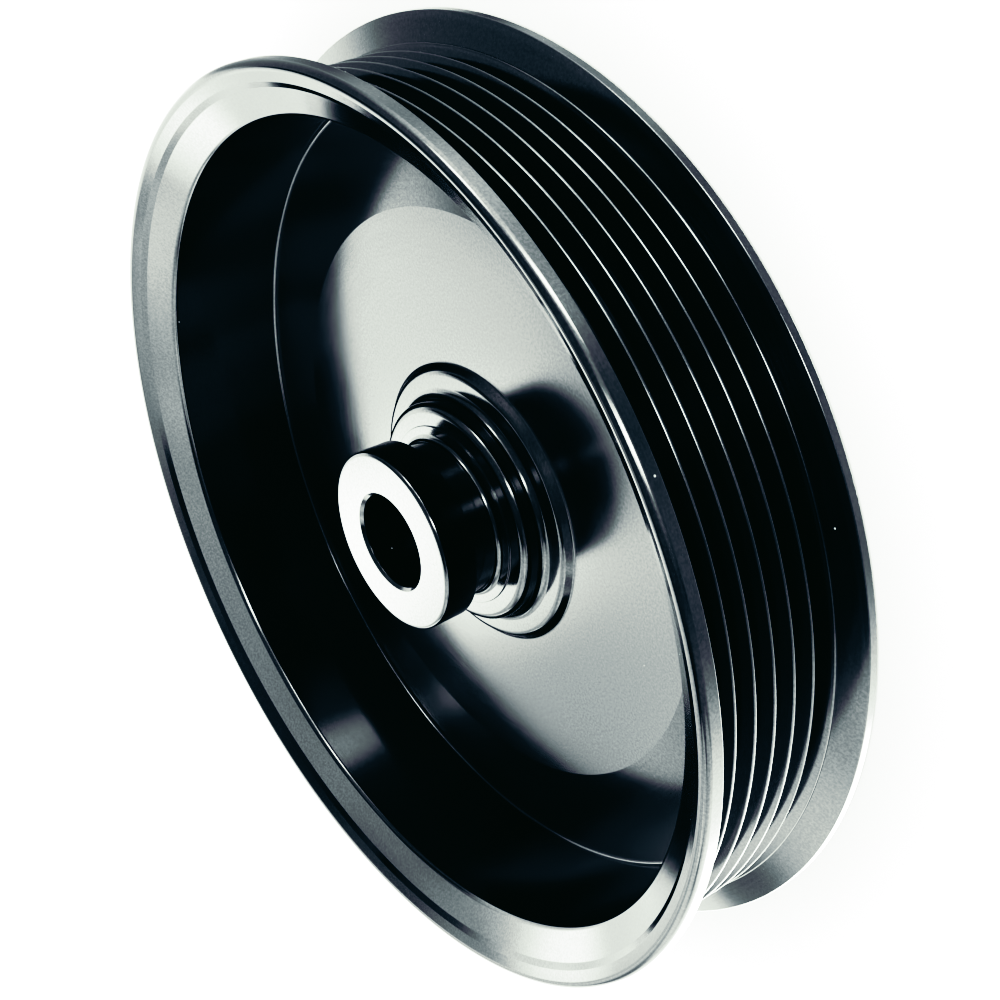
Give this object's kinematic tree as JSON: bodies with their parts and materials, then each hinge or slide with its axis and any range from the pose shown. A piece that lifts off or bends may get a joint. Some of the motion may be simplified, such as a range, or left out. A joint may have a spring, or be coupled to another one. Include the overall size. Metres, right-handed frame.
{
  "type": "water pump pulley",
  "caption": "Black turned water pump pulley: V-ribbed belt track between flanges, deep open dish, thin web, and a stepped hub with a puller collar, bored for a press fit.",
  "frame": {"origin": "on the axis of the bore, in the plane of the flat back face", "axes": "+Z along the axis from the back face towards the hub's face and the open dish; X and Y are free because the part is a body of revolution"},
  "size_m": [0.153, 0.153, 0.0297],
  "materials": {
    "black_anodised": "satin black anodised over fine turning marks"
  },
  "bodies": {
    "root": {"pulley": "black_anodised"}
  },
  "joints": []
}
